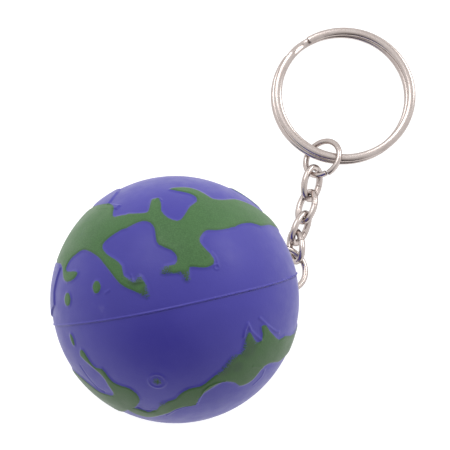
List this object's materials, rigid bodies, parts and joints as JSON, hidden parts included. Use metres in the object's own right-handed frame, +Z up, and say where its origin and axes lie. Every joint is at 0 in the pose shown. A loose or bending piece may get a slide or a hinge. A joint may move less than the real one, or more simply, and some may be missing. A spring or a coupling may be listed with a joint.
{
  "type": "stress ball",
  "caption": "Soft foam stress ball moulded as a globe with raised land, on a short chain of oval wire links that ends in a split key ring.",
  "frame": {"origin": "the spot on the ball's underside that rests on the desk, with the ball's middle straight above it", "axes": "+Z up from the desk; +Y along the way the chain and key ring lie, away from the ball; +X to the side the chain starts on"},
  "size_m": [0.0634, 0.0757, 0.0423],
  "materials": {
    "foam": null,
    "skin": "satin moulded skin",
    "land_paint": "satin painted skin",
    "anchor": "plain moulded",
    "nickel": "bright nickel plating"
  },
  "bodies": {
    "ball": {"foam_core": "foam", "ocean_skin": "skin", "seam_flash": "skin", "land_north_west": "land_paint", "land_north_mid": "land_paint", "land_north_east": "land_paint", "land_north_back": "land_paint", "land_south_west": "land_paint", "land_south_strip": "land_paint", "land_south_east": "land_paint", "land_far_north": "land_paint", "land_far_south": "land_paint", "islets": "land_paint", "anchor_disc": "anchor", "eye_pin": "nickel"},
    "ball_ring": {"ball_ring": "nickel"},
    "chain_link_1": {"chain_link_1": "nickel"},
    "chain_link_2": {"chain_link_2": "nickel"},
    "chain_link_3": {"chain_link_3": "nickel"},
    "chain_link_4": {"chain_link_4": "nickel"},
    "top_ring": {"top_ring": "nickel"},
    "split_ring": {"split_ring": "nickel"}
  },
  "joints": [
    {"name": "ball_ring_turn", "type": "hinge", "parent": "ball", "child": "ball_ring", "pos_m": [0.01547, 0.00846, 0.00547], "axis": [-0.2098, 0.9312, 0.298], "range_deg": [-76, 98]},
    {"name": "link_1_swing", "type": "hinge", "parent": "ball_ring", "child": "chain_link_1", "pos_m": [0.02184, 0.01151, 0.0029], "axis": [0.5376, -0.8412, -0.0585], "range_deg": [-30, 91]},
    {"name": "link_2_swing", "type": "hinge", "parent": "chain_link_1", "child": "chain_link_2", "pos_m": [0.02047, 0.01659, 0.00221], "axis": [-0.8163, 0.3198, -0.481], "range_deg": [-76, 76]},
    {"name": "link_3_swing", "type": "hinge", "parent": "chain_link_2", "child": "chain_link_3", "pos_m": [0.02298, 0.01979, 0.00226], "axis": [0.647, -0.2579, -0.7176], "range_deg": [-98, 15]},
    {"name": "link_4_swing", "type": "hinge", "parent": "chain_link_3", "child": "chain_link_4", "pos_m": [0.02307, 0.02285, 0.00198], "axis": [-0.647, 0.2579, 0.7176], "range_deg": [-98, 98]},
    {"name": "jump_ring_swing", "type": "hinge", "parent": "chain_link_4", "child": "top_ring", "pos_m": [0.02357, 0.02747, 0.00181], "axis": [0.5856, -0.613, 0.5303], "range_deg": [-98, 98]},
    {"name": "key_ring_slide", "type": "hinge", "parent": "top_ring", "child": "split_ring", "pos_m": [0.02569, 0.03005, 0.00245], "axis": [0.5174, -0.2209, -0.8267], "range_deg": [-38, 95]}
  ]
}
